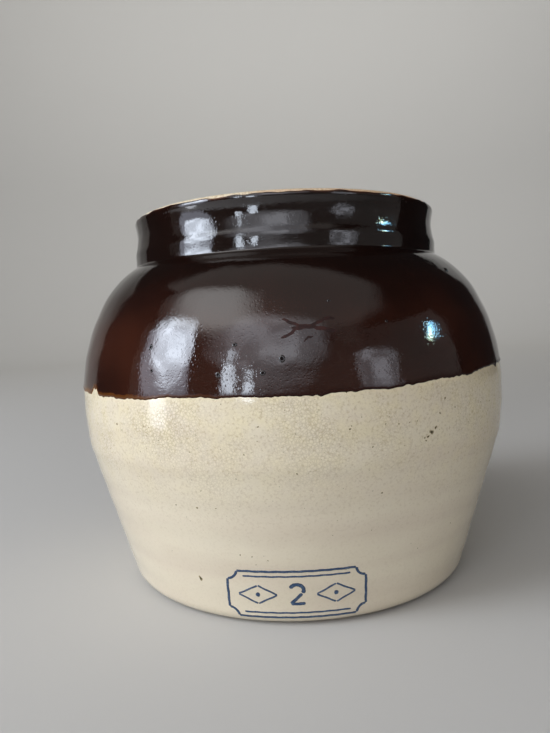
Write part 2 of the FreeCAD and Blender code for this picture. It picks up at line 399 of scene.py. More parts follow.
def hump(distance, width):
    """A smooth hump, 1 high in its middle: e to the power of minus the square of distance over width."""
    return np.exp(-((distance / width) ** 2))


def rounded(share):
    """A quarter round from 0 up to 1, as a share goes from 0 to 1: the root of 1 - (1 - share)^2."""
    return np.sqrt(1 - (1 - np.clip(share, 0, 1)) ** 2)


def dip_line(turn):
    """Height of the brown coat's edge: a tilted plane, the slow waver of the hand that dipped it,
    scallops, small round lobes with sharp notches between, which are the root of a wave's size, smaller
    beads, a few short runs, one chip and one drip."""
    level = DIP_CENTRE + DIP_RADIUS * (DIP_TILT[0] * np.cos(turn) + DIP_TILT[1] * np.sin(turn))
    side = azimuth(turn)
    waver = np.interp(side, *zip(*DIP_WAVER))
    scallops = SCALLOP * wander(turn, 0, *SCALLOPS)
    notches = np.sqrt(np.abs(wander(turn, 0, *LOBES))) * (LOBE_DEPTH + 0.1 * np.sin(turn * 5))
    beads = BEAD * wander(turn, 0, *BEADS)
    runs = RUN * np.maximum(wander(turn, 0, *RUNS) - 1.0, 0)
    off_chip = np.abs(side - CHIP[0]) / CHIP[1]
    chip = CHIP[2] * np.clip(1.6 - 1.6 * off_chip, 0, 1) * (1 - 0.3 * hump(off_chip, 0.22))
    drip = DRIP[2] * hump(side - DRIP[0], DRIP[1])
    return level + waver + scallops + (LOBE_HEIGHT - notches) + beads - runs + chip - drip


def place_at(path, height):
    """The length along an outside path at which it reaches a height."""
    return np.interp(height, path[2], path[0])


def cream_stand(turn, height):
    """How far the cream coat's skin stands off the outline: the wall's stray and the coat's own swell."""
    return stray(turn, height) + CREAM_SWELL * wander(turn, height, *CREAM_SWELLS)


line_place = place_at(outer, dip_line(turn))
cream_low = place_at(outer, CREAM_START)
up_the_coat = np.linspace(0, 1, CREAM_ROWS)[:, None]
cream_rows = cream_low + up_the_coat * (line_place + CREAM_SKIN_END - cream_low)
cream_height = height_at(outer, cream_rows)
sunk_heel = GLAZE * (1 - rounded((cream_rows - cream_low) / CREAM_ROUND))
back = slice(None, None, -CREAM_BACK_STEP)
cream_rings = np.concatenate([
    surface(outer, cream_rows, cream_stand(turn, cream_height) - sunk_heel, turn),
    surface(outer, cream_rows[back], stray(turn, cream_height[back]) - GLAZE - BACKING, turn),
])
under_edge = np.exp(-np.abs(line_place - cream_rows) / EDGE_FADE)
edge_values = np.concatenate([under_edge, under_edge[back]])

# Cream glaze, fired glossy, though its orange peel makes it look satin: warm ivory in soft level bands,
# yellower and pebbled where it lies thick under the brown edge, with a net of crazing, open pores and tan
# flecks in it, and a painted highlight: a pale line just under the brown edge. The net is 1 mm across,
# coarser than the real one
# so that it shows, and milder towards the right.
cream, shader = finish("cream_stoneware_glaze")
where = add(cream, "TexCoord", give="Object")
height = add(cream, "SeparateXYZ", {"Vector": where}, give="Z")
clouds = add(cream, "TexNoise", {"Vector": where, "Scale": 45.0, "Detail": 4.0, "Roughness": 0.6})
ivories = {"Factor": clouds, "A": colour("#e2d7bf"), "B": colour("#dacdb4")}
ivory = add(cream, "Mix", ivories, data_type="RGBA")
level = add(cream, "VectorMath", {0: where, 1: (16.0, 16.0, 95.0)}, operation="MULTIPLY")
bands = add(cream, "TexNoise", {"Vector": level, "Scale": 1.0, "Detail": 3.0, "Roughness": 0.45})
rosy = add(cream, "MapRange", {"Value": bands, "From Min": 0.46, "From Max": 0.68, "To Max": 0.5})
warm = add(cream, "Mix", {"Factor": rosy, "A": ivory, "B": colour("#d3c3ae")}, data_type="RGBA")
full = add(cream, "MapRange", {"Value": height, "From Min": 0.04, "From Max": 0.072, "To Min": 0.06})
mottle = add(cream, "TexNoise", {"Vector": where, "Scale": 170.0, "Detail": 3.0})
yellow = add(cream, "MapRange", {
    "Value": mottle, "From Min": 0.38, "From Max": 0.66, "To Min": 0.1, "To Max": 0.6,
})
straw = add(cream, "Math", {0: full, 1: yellow}, operation="MULTIPLY")
tone = add(cream, "Mix", {"Factor": straw, "A": warm, "B": colour("#e1d3ab")}, data_type="RGBA")
bend = add(cream, "TexNoise", {"Vector": where, "Scale": 700.0, "Detail": 2.0}, give="Color")
bent = add(cream, "VectorMath", {"Vector": bend, "Scale": 0.0008}, operation="SCALE")
net_at = add(cream, "VectorMath", {0: where, 1: bent}, operation="ADD")
patch = add(cream, "TexNoise", {"Vector": where, "Scale": 60.0, "Detail": 3.0})
patchy = add(cream, "MapRange", {"Value": patch, "From Min": 0.36, "From Max": 0.66, "To Min": 0.12})
across = add(cream, "SeparateXYZ", {"Vector": where}, give="X")
milder = add(cream, "MapRange", {"Value": across, "From Max": 0.036, "To Min": 1.0, "To Max": 0.5})
net_share = add(cream, "Math", {0: patchy, 1: milder}, operation="MULTIPLY")
where_crazed = add(cream, "Math", {0: net_share, 1: full}, operation="MULTIPLY")
cells = add(cream, "TexVoronoi", {"Vector": net_at, "Scale": 1000.0}, feature="F1")
crown = add(cream, "MapRange", {
    "Value": cells, "From Min": 0.1, "From Max": 0.55, "To Min": 0.24, "To Max": 0.0,
})
pebble = add(cream, "Math", {0: crown, 1: where_crazed}, operation="MULTIPLY")
pebbled = add(cream, "Mix", {"Factor": pebble, "A": tone, "B": colour("#f4ecd6")}, data_type="RGBA")
net = add(cream, "TexVoronoi", {"Vector": net_at, "Scale": 1000.0}, feature="DISTANCE_TO_EDGE")
crack = add(cream, "MapRange", {
    "Value": net, "From Min": 0.02, "From Max": 0.17, "To Min": 0.42, "To Max": 0.0,
})
craze = add(cream, "Math", {0: crack, 1: where_crazed}, operation="MULTIPLY")
lined = add(cream, "Mix", {"Factor": craze, "A": pebbled, "B": colour("#8f7a55")}, data_type="RGBA")
holes = add(cream, "TexVoronoi", {"Vector": net_at, "Scale": 520.0}, feature="F1")
pore = add(cream, "MapRange", {
    "Value": holes, "From Min": 0.06, "From Max": 0.13, "To Min": 0.8, "To Max": 0.0,
})
pored = add(cream, "Math", {0: pore, 1: where_crazed}, operation="MULTIPLY")
open_skin = add(cream, "Mix", {"Factor": pored, "A": lined, "B": colour("#6d5d40")}, data_type="RGBA")
fleck = add(cream, "TexNoise", {"Vector": where, "Scale": 1100.0, "Detail": 2.0, "Roughness": 0.6})
flecks = add(cream, "MapRange", {"Value": fleck, "From Min": 0.52, "From Max": 0.7, "To Max": 0.42})
on_belly = add(cream, "MapRange", {"Value": height, "From Min": 0.03, "From Max": 0.065, "To Min": 0.25})
fleck_share = add(cream, "Math", {0: flecks, 1: on_belly}, operation="MULTIPLY")
fleck_tan = {"Factor": fleck_share, "A": open_skin, "B": colour("#a88f6c")}
flecked = add(cream, "Mix", fleck_tan, data_type="RGBA")
# Painted highlight: a pale line mixed into the cream just under the brown coat's edge.
near_edge = add(cream, "Attribute", give="Fac", attribute_name="edge")
painted_highlight_share = add(cream, "Math", {0: near_edge, 1: 0.6}, operation="MULTIPLY")
edge_highlighted = add(cream, "Mix", {"Factor": painted_highlight_share, "A": flecked, "B": colour("#efe0bb")}, data_type="RGBA")
peel = add(cream, "TexNoise", {"Vector": where, "Scale": 420.0, "Detail": 3.0})
skin_bump = add(cream, "Bump", {"Height": peel, "Strength": 0.25, "Distance": 0.00015})
sunk = {"Height": craze, "Normal": skin_bump, "Strength": 0.4, "Distance": 0.00006}
crack_bump = add(cream, "Bump", sunk, invert=True)
gloss = add(cream, "Math", {0: clouds, 1: 0.05, 2: 0.035}, operation="MULTIPLY_ADD")
feed(cream, shader, {"Base Color": edge_highlighted, "Normal": crack_bump, "Roughness": gloss, "IOR": 1.55})

cream_coat = skin("cream_glaze_coat", cream_rings, closed=True, values={"edge": edge_values})
cream_coat.data.materials.append(cream)
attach(cream_coat, "root")
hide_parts("cream_glaze")


# Brown glaze. The neck is dipped in a dark iron slip glaze, which runs down to a thick rolled edge over
# the cream. It is glossy and almost black where it lies thick, and breaks to amber where it thins at that
# edge and on the lip.

BROWN_LIFT = 0.15
POOLS = (32, 9, 45)
POOL = 0.035
RIPPLES = (33, 4, 9)
RIPPLE = 0.005
NECK_BAND = 0.03
NECK_BAND_AT = 130.3
NECK_BAND_PITCH = 5.0
NECK_BANDS_START = (127, 129)
NECK_BANDS_END = (143.5, 141.5)
EDGE_BEAD = 0.1
EDGE_WIDTH = 0.7
BEAD_REACH = 1.5
ROLLED_REACH = 1.3
EDGE_ZONE = 7.0
FOLLOW_ZONE = 14.0
LIP_WIPED = 25.0
LIP_ROUND = 0.6
LIP_ZONE = 2.0
LIP_WAVES = (31, 6, 40, 24)
LIP_WAVER = 0.22
BROWN_BACK_STEP = 12

# Where the coat is thin. A side is a turn from the front and a width, in degrees, and RUN_OFF two heights.
THIN_SIDE = (-56, 34)
THIN_REACHES = (34, 30, 160)
THIN_LIP = (36, 12, 60)
RUN_OFF = (122, 102)
RUN_OFF_SIDE = (-60, 45)
RUN_OFF_CLOUDS = (35, 25, 110)


def smooth(share):
    """An even start and stop from 0 to 1: 3 s^2 - 2 s^3."""
    return share * share * (3 - 2 * share)


def brown_depth(turn, height):
    """How thick in mm the brown coat lies over the cream's level: pooled here and there, and in faint
    bands where it ran round the neck."""
    bands = NECK_BAND * np.sin((height - NECK_BAND_AT) * 2 * math.pi / NECK_BAND_PITCH)
    on_neck = part_way(height, *NECK_BANDS_START) * part_way(height, *NECK_BANDS_END)
    pooled = POOL * wander(turn, height, *POOLS) + RIPPLE * wander(turn, height, *RIPPLES)
    return BROWN_LIFT + pooled + bands * on_neck


lip_start = outer[0][-1] - LIP_ARC * math.radians(90 - LIP_WIPED)
lip_place = lip_start + LIP_WAVER * wander(turn, 0, *LIP_WAVES)
mean_line = float(line_place.mean())
edge_rows = mean_line + EDGE_ZONE * (1.0 - np.cos(np.linspace(0, math.pi / 2, 16)))[:-1]
long_rows = spread(outer, mean_line + EDGE_ZONE, lip_start - LIP_ROUND, 58, bend=7.0)
lip_rows = lip_start - LIP_ROUND * np.cos(np.linspace(0, math.pi / 2, 7))[1:]
still_rows = np.concatenate([edge_rows, long_rows, lip_rows])[:, None]
follow = smooth(np.clip(1 - (still_rows - mean_line) / FOLLOW_ZONE, 0, 1))
lead = np.clip(1 - (lip_start - still_rows) / LIP_ZONE, 0, 1)
brown_rows = still_rows + follow * (line_place - mean_line) + lead * (lip_place - lip_start)
brown_height = height_at(outer, brown_rows)
above = brown_rows - line_place
below = lip_place - brown_rows
edges = rounded(above / EDGE_WIDTH) * rounded(below / LIP_ROUND)
bead = EDGE_BEAD * hump(above, BEAD_REACH)
brown_lift = (brown_depth(turn, brown_height) + bead + GLAZE) * edges - GLAZE - TUCK
back = slice(None, None, -BROWN_BACK_STEP)
brown_rings = np.concatenate([
    surface(outer, brown_rows, stray(turn, brown_height) + brown_lift, turn),
    surface(outer, brown_rows[back], stray(turn, brown_height[back]) - GLAZE - BACKING, turn),
])

side = azimuth(turn)
thin_side = hump(side - THIN_SIDE[0], THIN_SIDE[1]) + 0.25 * np.clip(wander(turn, 0, *THIN_REACHES), 0, 1)
thin_band = np.clip((0.8 + 1.2 * thin_side - above) / 0.4, 0, 1)
thin_edge = thin_side * (0.4 * smooth(thin_band) + 0.2 * hump(above, 0.4))
thin_lip = (0.55 + 0.25 * wander(turn, 0, *THIN_LIP)) * hump(below, 0.7)
run_off = part_way(brown_height, *RUN_OFF) * (0.75 + 0.25 * hump(side - RUN_OFF_SIDE[0], RUN_OFF_SIDE[1]))
body_thin = 0.25 * run_off * (1 + 0.16 * wander(turn, brown_height, *RUN_OFF_CLOUDS))
thin = np.clip(body_thin + thin_edge + thin_lip, 0, 1)
rolled = hump(above, ROLLED_REACH)
brown_values = {"thinness": thin, "rolled": rolled}
brown_values = {name: np.concatenate([field, field[back]]) for name, field in brown_values.items()}

# Iron slip glaze, fired glossy: a deep maroon brown, almost black where it lies thick and amber where it
# is thin. Fine bubbles that healed in the firing leave a skin that breaks a reflection into grains, and
# its rolled edge is dull. That edge is also painted near black: a painted dark reflection, standing in
# for the dark surroundings that its downward face would mirror.
brown, shader = finish("brown_slip_glaze")
where = add(brown, "TexCoord", give="Object")
thin_at = add(brown, "Attribute", give="Fac", attribute_name="thinness")
depth = add(brown, "TexNoise", {"Vector": where, "Scale": 38.0, "Detail": 3.0})
mottled = add(brown, "MapRange", {
    "Value": depth, "From Min": 0.3, "From Max": 0.7, "To Min": -0.05, "To Max": 0.05,
})
seen_thin = add(brown, "Math", {0: thin_at, 1: mottled}, operation="ADD", use_clamp=True)
amber = add(brown, "ValToRGB", {"Fac": seen_thin})
ramp = amber.node.color_ramp
ramp.elements[0].color, ramp.elements[1].color = colour("#150a07"), colour("#8a5c19")
for stop, code in ((0.14, "#210f0a"), (0.32, "#381b11"), (0.6, "#5a330e")):
    ramp.elements.new(stop).color = colour(code)
# Painted shade: the rolled edge is mixed towards near black, standing in for the dark that its downward
# face would reflect.
rolled_at = add(brown, "Attribute", give="Fac", attribute_name="rolled")
dark_edge_share = add(brown, "Math", {0: rolled_at, 1: 0.9}, operation="MULTIPLY")
painted_dark_share = add(brown, "Math", {0: dark_edge_share, 1: seen_thin}, operation="SUBTRACT", use_clamp=True)
edge_painted_dark = add(brown, "Mix", {"Factor": painted_dark_share, "A": amber, "B": colour("#1d0a06")}, data_type="RGBA")
wide_peel = add(brown, "TexNoise", {"Vector": where, "Scale": 260.0, "Detail": 2.0})
fine_peel = add(brown, "TexNoise", {"Vector": where, "Scale": 1000.0, "Detail": 3.0})
bubbles = add(brown, "TexVoronoi", {"Vector": where, "Scale": 900.0}, feature="F1")
dimple = add(brown, "MapRange", {
    "Value": bubbles, "From Min": 0.1, "From Max": 0.36,
}, interpolation_type="SMOOTHSTEP")
wide_bump = add(brown, "Bump", {"Height": wide_peel, "Strength": 0.16, "Distance": 0.00015})
fine = {"Height": fine_peel, "Normal": wide_bump, "Strength": 0.5, "Distance": 0.00004}
fine_bump = add(brown, "Bump", fine)
pitted = add(brown, "Bump", {"Height": dimple, "Normal": fine_bump, "Strength": 0.5, "Distance": 0.00002})
dull = add(brown, "Math", {0: rolled_at, 1: 0.22, 2: 0.05}, operation="MULTIPLY_ADD")
edge_shine = add(brown, "Math", {0: rolled_at, 1: -0.45, 2: 0.5}, operation="MULTIPLY_ADD")
feed(brown, shader, {
    "Base Color": edge_painted_dark, "Normal": pitted, "Roughness": dull, "Specular IOR Level": edge_shine,
    "IOR": 1.62,
})

brown_coat = skin("brown_glaze_coat", brown_rings, closed=True, values=brown_values)
brown_coat.data.materials.append(brown)
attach(brown_coat, "root")
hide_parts("brown_glaze")


# Healed blisters. Gas broke through the brown glaze while it was runny, and each small crater closed to a
# low ring round a dimple, whose dark, dull middle is painted shade. One nub on the right shoulder is a
# crumb of clay that the glaze flowed over.

# Each is a turn in degrees from the front, a height and a radius, which is negative for the nub.
BLISTERS = [
    (-32.0, 96.0, 1.0), (-14.8, 87.0, 0.9), (-11.3, 95.9, 0.8), (-5.5, 87.2, 0.9), (-1.6, 91.2, 1.1),
    (-31.0, 88.5, 0.6), (21.5, 101.0, 0.5), (9.0, 108.0, 0.45), (96.0, 93.0, 0.9), (131.0, 104.0, 0.7),
    (172.0, 90.0, 1.0), (-160.0, 98.0, 0.6), (-128.0, 88.0, 0.8), (-97.0, 107.0, 0.6), (51.8, 118.3, -1.0),
]
BLISTER_RINGS = 9
BLISTER_SIDES = 20
PIT_ROWS = 3
RING = 0.14
NUB = 0.5
SPOT_RADIUS = 84.0


def brown_stand(turn, height):
    """How far the brown coat's skin stands off the outline, away from its edges."""
    return stray(turn, height) + brown_depth(turn, height)


def spot(side, height, reach, way):
    """Turn and height of points on the wall at a reach in mm each way from a middle: the way's sine up,
    and its cosine over the wall's radius to the side."""
    return np.radians(side - 90) + reach * np.cos(way) / SPOT_RADIUS, height + reach * np.sin(way)


def discs(name, points, values=None):
    """One mesh of many round patches, each of rings of points from the inside out, with a middle cap."""
    index = np.arange(points.size // 3).reshape(points.shape[:-1])
    inside, outside = index[..., :-1, :], index[..., 1:, :]
    caps = index[..., 0, :].reshape(-1, index.shape[-1]).tolist()
    return mesh_piece(name, points, faces(inside, outside, onward(outside), onward(inside)) + caps, values)


def blisters_at(side, height, size):
    """Points of craters. At a share s of its size from its middle, one is a ring exp(-((s - 0.6) / 0.2)^2)
    high, with a dimple inside. One of negative size is a plain dome, the square of 1 - s^2."""
    share = np.linspace(0.12, 1.0, BLISTER_RINGS)[:, None]
    way = np.linspace(0, 2 * math.pi, BLISTER_SIDES, endpoint=False)
    ring = RING * hump(share - 0.6, 0.2) + 0.03 * (1 - share) - 0.015 * share
    dome = NUB * (1 - share**2) ** 2 - 0.01
    at, up = spot(side, height, np.abs(size) * share * (1 + 0.1 * np.sin(2 * way + side)), way)
    lift = brown_stand(at, up) + np.where(size > 0, ring, dome) - TUCK
    return surface(outer, place_at(outer, up), lift, at)


side, height, size = np.array(BLISTERS).T[..., None, None]
blisters = discs("healed_blisters", blisters_at(side, height, size))
in_crater = size > 0
from_middle = np.arange(BLISTER_RINGS - 1)[:, None]
pit_sides = np.repeat(in_crater & (from_middle < PIT_ROWS), BLISTER_SIDES, axis=-1)
in_pit = np.concatenate([pit_sides.ravel(), in_crater.ravel()]).astype(np.int32)
blisters.data.polygons.foreach_set("material_index", in_pit)

# The dark middle of each crater's dimple: painted shade, near black, dull and with little sheen.
pit, shader = finish("crater_pit_painted_shade")
feed(pit, shader, {"Base Color": colour("#0d0504"), "Roughness": 0.7, "Specular IOR Level": 0.1})
blisters.data.materials.append(brown)
blisters.data.materials.append(pit)
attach(blisters, "root")


# Crossed runs. Where the dipped pot was touched, the raw slip gathered in a few thin crossed runs on the
# front of the shoulder. They fired to low ridges of thicker, darker glaze.

# Each run is its bends, in mm across and up from the middle of them all, and its share of the full width.
CROSSED = [
    ([(-7.2, 3.4), (-4.7, 2.4), (-2.4, 1.3), (0.6, 1.0), (2.9, 1.6), (5.6, 3.0), (9.0, 3.1)], 0.6),
    ([(-4.6, 0.6), (-1.6, 0.6), (0.8, 1.0), (3.0, 0.5), (5.4, 0.0), (9.4, -0.9)], 0.75),
    ([(-7.8, -2.4), (-4.4, -0.8), (-2.5, 1.0)], 0.6),
    ([(-0.9, -3.6), (0.4, -2.4), (2.0, -2.0)], 0.4),
]
RUNS_MIDDLE = (5.2, 99.5)
RUN_WIDTH = 1.5
RUN_HEIGHT = 0.012
RUN_SINK = 0.008
RUN_TAPER = 1.6
RUN_WAVE = 0.12
RUN_SEED = 70
ACROSS_ROWS = 7


def stroke(line, width, high, seed, middle, stand_off, sink=0.05, taper=0.0):
    """A low ridge as a strip of rows: half an ellipse carried along a line round a middle (x, height),
    with round or tapered ends and a width that varies, laid on the wall at turn = asin(x / radius) and
    the same height. It gives the strip's points, and their share of the way from its middle to its
    edge."""
    draw = np.random.default_rng(seed)
    run = np.concatenate([[0], np.cumsum(np.hypot(*np.diff(line, axis=0).T))])
    tangent = np.gradient(line, axis=0)
    tangent /= np.hypot(*tangent.T)[:, None]
    side = np.stack([-tangent[:, 1], tangent[:, 0]], axis=-1)
    ends = rounded(np.minimum(run, run[-1] - run) / (width / 2 + taper))
    waves = ((2.1, 0.06), (5.3, 0.05), (9.7, 0.05))
    rough = sum(np.sin(run * pitch + draw.uniform(0, 6.3)) * share for pitch, share in waves)
    half = width / 2 * ends * (1 + rough) + 0.02
    slip = 0.05 * np.sin(run * 1.3 + draw.uniform(0, 6.3))
    across = np.sin(np.linspace(-math.pi / 2, math.pi / 2, ACROSS_ROWS))[:, None]
    flat = line[None] + side[None] * (across * half + slip)[..., None]
    x, up = flat[..., 0] + middle[0], flat[..., 1] + middle[1]
    place = place_at(outer, up)
    at = np.arcsin(x / np.interp(place, outer[0], outer[1])) - math.pi / 2
    rise = (high + sink) * np.sqrt(1 - across**2) * ends - sink
    return surface(outer, place, stand_off(at, up) + rise, at), np.broadcast_to(np.abs(across), x.shape)


def strokes(name, strips):
    """One mesh of many strips, with each point's share of the way from its strip's middle to its edge."""
    sides, used = [], 0
    for _, across in strips:
        index = used + np.arange(across.size).reshape(across.shape)
        sides += faces(index[:-1, :-1], index[:-1, 1:], index[1:, 1:], index[1:, :-1])
        used += across.size
    points = np.concatenate([strip.reshape(-1, 3) for strip, _ in strips])
    edge = np.concatenate([across.ravel() for _, across in strips])
    return mesh_piece(name, points, sides, {"edge": edge})


run_strips = []
for number, (bends, share) in enumerate(CROSSED):
    along = np.linspace(0, len(bends) - 1, 60)
    line = np.stack([np.interp(along, np.arange(len(bends)), part) for part in zip(*bends)], axis=-1)
    line = line + RUN_WAVE * np.sin(along * 5 + number)[:, None]
    width, seed = RUN_WIDTH * share, RUN_SEED + number
    run_strips.append(stroke(line, width, RUN_HEIGHT, seed, RUNS_MIDDLE, brown_stand, RUN_SINK, RUN_TAPER))
crossed_runs = strokes("crossed_glaze_runs", run_strips)

# Slip that gathered too thick to melt smooth: a matt, dark maroon skin, redder in patches.
matt_slip, shader = finish("matt_slip_run")
where = add(matt_slip, "TexCoord", give="Object")
patch = add(matt_slip, "TexNoise", {"Vector": where, "Scale": 500.0, "Detail": 3.0})
redder = add(matt_slip, "MapRange", {"Value": patch, "From Min": 0.4, "From Max": 0.65})
maroons = {"Factor": redder, "A": colour("#200c08"), "B": colour("#341610")}
maroon = add(matt_slip, "Mix", maroons, data_type="RGBA")
dry_skin = add(matt_slip, "Bump", {"Height": patch, "Strength": 0.4, "Distance": 0.0001})
feed(matt_slip, shader, {
    "Base Color": maroon, "Normal": dry_skin, "Roughness": 0.5, "Specular IOR Level": 0.25,
})
crossed_runs.data.materials.append(matt_slip)
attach(crossed_runs, "root")


# Inside glaze. The same slip was poured in, swilled round and tipped out, so it lies thinner on the walls
# and shows the rings that the shaping tool left there. It stops just short of the bare rim.

INSIDE_COLUMN_STEP = 2
INSIDE_START = 0.9
INSIDE_LIP_WAVES = (41, 6, 40, 24)
INSIDE_LIP_WAVER = 0.15
INSIDE_LIP_ZONE = 3.0
INSIDE_SWELLS = (42, 10, 50)
INSIDE_SWELL = 0.03
INSIDE_BACKING = 0.12
INSIDE_BACK_STEP = 11
RING_PITCH = 6.5
RING_DEPTH = 0.09
RINGS_TOP = (122, 116)
RINGS_BOTTOM = (9.5, 13.5)

inside_turn = turn[:, ::INSIDE_COLUMN_STEP]
rim_place = INSIDE_START + INSIDE_LIP_WAVER * wander(inside_turn, 0, *INSIDE_LIP_WAVES)
inside_still = np.concatenate([
    INSIDE_START + LIP_ROUND * (1 - np.cos(np.linspace(0, math.pi / 2, 6))),
    spread(inner, 1.7, inner[0][-1] - 1.0, 96, bend=6.0),
])[:, None]
inside_lead = np.clip(1 - (inside_still - INSIDE_START) / INSIDE_LIP_ZONE, 0, 1)
inside_rows = inside_still + inside_lead * (rim_place - INSIDE_START)
inside_height = height_at(inner, inside_rows)
belly_only = part_way(inside_height, *RINGS_TOP) * part_way(inside_height, *RINGS_BOTTOM)
tool_rings = RING_DEPTH * np.sin(inside_height * 2 * math.pi / RING_PITCH + inside_turn) * belly_only
inside_swell = INSIDE_SWELL * wander(inside_turn, inside_height, *INSIDE_SWELLS)
inside_edge = rounded((inside_rows - rim_place) / LIP_ROUND)
inside_lift = (inside_swell + tool_rings + INSIDE_GLAZE) * inside_edge - INSIDE_GLAZE
inside_rings = np.concatenate([
    surface(inner, inside_rows[::-INSIDE_BACK_STEP], -INSIDE_GLAZE - INSIDE_BACKING, inside_turn),
    surface(inner, inside_rows, inside_lift, inside_turn),
])
inside_coat = skin("inside_glaze_coat", inside_rings)
inside_coat.data.materials.append(brown)
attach(inside_coat, "root")
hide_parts("inside_glaze")


# Capacity mark. A figure 2 for two quarts, between two lozenges in a panel with notched corners, is
# stamped in cobalt ink on the raw glaze and fired with it, so each stroke is a low blue ridge, paler
# along its middle.

# The panel's middle is in mm to the right of the front and up, and all else in mm from that middle.
PANEL = (-1.0, 12.6)
STROKE = 0.95
FINE = 0.7
INK = 0.1
HALF_LENGTH = 23.0
HALF_HEIGHT = 8.9
NOTCH = 3.2
RULE_INSET = 1.9
NUMERAL = 8.0
BOWL = 2.2
BOWL_ANGLES = (165, -35)
BOWL_STROKE = 1.5 * STROKE
FOOT_STROKE = 1.3 * STROKE
LOZENGE_AT = 13.0
LOZENGE = (6.5, 3.6)
LOZENGE_DOT = 0.9
INK_SEED = 100

# The way of each end of the panel, with the angles at which its upper and its lower notch start.
NOTCHES = {1: (180, 90), -1: (270, 0)}

# The step along a line, and along an arc in mm of its radius times degrees.
LINE_STEP = 0.3
BOW_STEP = 17


def straight(start, end):
    """Points some 0.3 mm apart from one point to another, in mm across the wall and up."""
    return np.linspace(start, end, max(4, round(math.dist(start, end) / LINE_STEP)))


def bow(centre, radius, start, end):
    """Points some 0.3 mm apart along an arc: centre plus radius times (cos a, sin a)."""
    turns = np.radians(np.linspace(start, end, max(6, round(abs(end - start) * radius / BOW_STEP))))
    return np.stack([centre[0] + radius * np.cos(turns), centre[1] + radius * np.sin(turns)], axis=-1)


numeral_foot = STROKE / 2 - NUMERAL / 2
lines = [
    (bow((0, NUMERAL / 2 - BOWL), BOWL, *BOWL_ANGLES), BOWL_STROKE),
    (straight((BOWL * 0.82, NUMERAL / 2 - BOWL * 1.57), (-BOWL, numeral_foot)), FOOT_STROKE),
    (straight((-BOWL, numeral_foot), (1.3 * BOWL, numeral_foot)), FOOT_STROKE),
]
for way, notch_starts in NOTCHES.items():
    end, tall, long_end = way * HALF_LENGTH, HALF_HEIGHT - NOTCH, HALF_LENGTH - NOTCH
    lines.append((straight((end, -tall), (end, tall)), STROKE))
    for up, start in zip((HALF_HEIGHT, -HALF_HEIGHT), notch_starts):
        lines.append((bow((end, up), NOTCH, start, start + 90), STROKE))
    lines.append((straight((-long_end, way * HALF_HEIGHT), (long_end, way * HALF_HEIGHT)), STROKE))
    rule = way * (HALF_HEIGHT - RULE_INSET)
    lines.append((straight((RULE_INSET - long_end, rule), (long_end - RULE_INSET, rule)), FINE))
    middle = way * LOZENGE_AT
    tips = [(middle + a * LOZENGE[0], b * LOZENGE[1]) for a, b in ((1, 0), (0, 1), (-1, 0), (0, -1))]
    lines += [(straight(a, b), FINE) for a, b in zip(tips, tips[1:] + tips[:1])]
    lines.append((straight((middle - LOZENGE_DOT, 0), (middle + LOZENGE_DOT, 0)), 2 * LOZENGE_DOT))

mark = strokes("capacity_mark_ink", [
    stroke(line, width, INK, INK_SEED + number, PANEL, cream_stand)
    for number, (line, width) in enumerate(lines)
])

# Cobalt ink, fired to a soft sheen: slate blue, darker at the edges of the stamp, and broken by pores.
cobalt, shader = finish("cobalt_ink_fired")
where = add(cobalt, "TexCoord", give="Object")
gathered = add(cobalt, "Attribute", give="Fac", attribute_name="edge")
uneven = add(cobalt, "TexNoise", {"Vector": where, "Scale": 900.0, "Detail": 3.0})
rim = add(cobalt, "MapRange", {"Value": gathered, "From Min": 0.35, "From Max": 0.9})
ink = add(cobalt, "Mix", {"Factor": rim, "A": colour("#2d4868"), "B": colour("#12243f")}, data_type="RGBA")
worn = add(cobalt, "MapRange", {"Value": uneven, "From Min": 0.52, "From Max": 0.75, "To Max": 0.45})
broken = add(cobalt, "Mix", {"Factor": worn, "A": ink, "B": colour("#7c8a9c")}, data_type="RGBA")
feed(cobalt, shader, {"Base Color": broken, "Roughness": 0.3})
mark.data.materials.append(cobalt)
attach(mark, "root")
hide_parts("capacity_mark")


# Iron specks. Grains of iron in the clay melt in the firing and stain up through the cream glaze as small
# dark freckles, each with a tan halo. A few larger ones gather on the right of the front, and one stain
# sits low.

# Each is a turn in degrees from the front, a height and a radius. The freckles are strewn over the rest.
SPECKS = [
    (30.3, 65.3, 0.95), (31.4, 66.6, 0.6), (29.4, 64.0, 0.55), (28.9, 62.8, 0.35), (32.5, 71.1, 0.4),
    (28.5, 63.8, 0.35), (34.1, 75.6, 0.45), (37.2, 72.2, 0.3), (-43.1, 70.2, 0.45), (-41.3, 68.4, 0.3),
    (11.3, 69.2, 0.35), (0.4, 56.2, 0.32), (19.0, 47.3, 0.36), (-22.9, 43.8, 0.42), (-28.7, 44.0, 0.3),
    (21.9, 69.4, 0.28), (18.9, 69.8, 0.25), (16.1, 63.0, 0.28), (-6.9, 71.2, 0.3), (0.5, 68.7, 0.22),
    (-10.1, 62.6, 0.25), (-14.1, 27.6, 0.3), (-11.2, 27.1, 0.28), (-7.4, 25.8, 0.25), (-26.8, 16.6, 0.95),
    (10.8, 80.4, 0.3),
]
FRECKLES = 520
FRECKLE_SEED = 61
FRECKLE_LOWEST = 12
FRECKLE_SPAN = 67
FRECKLE_SIZE = 0.09
FRECKLE_GROWTH = 0.16
SPECK_SHARES = (0.1, 0.5, 1.0)
SPECK_SIDES = 10
SPECK_RISE = 0.035
SPECK_SINK = 0.004

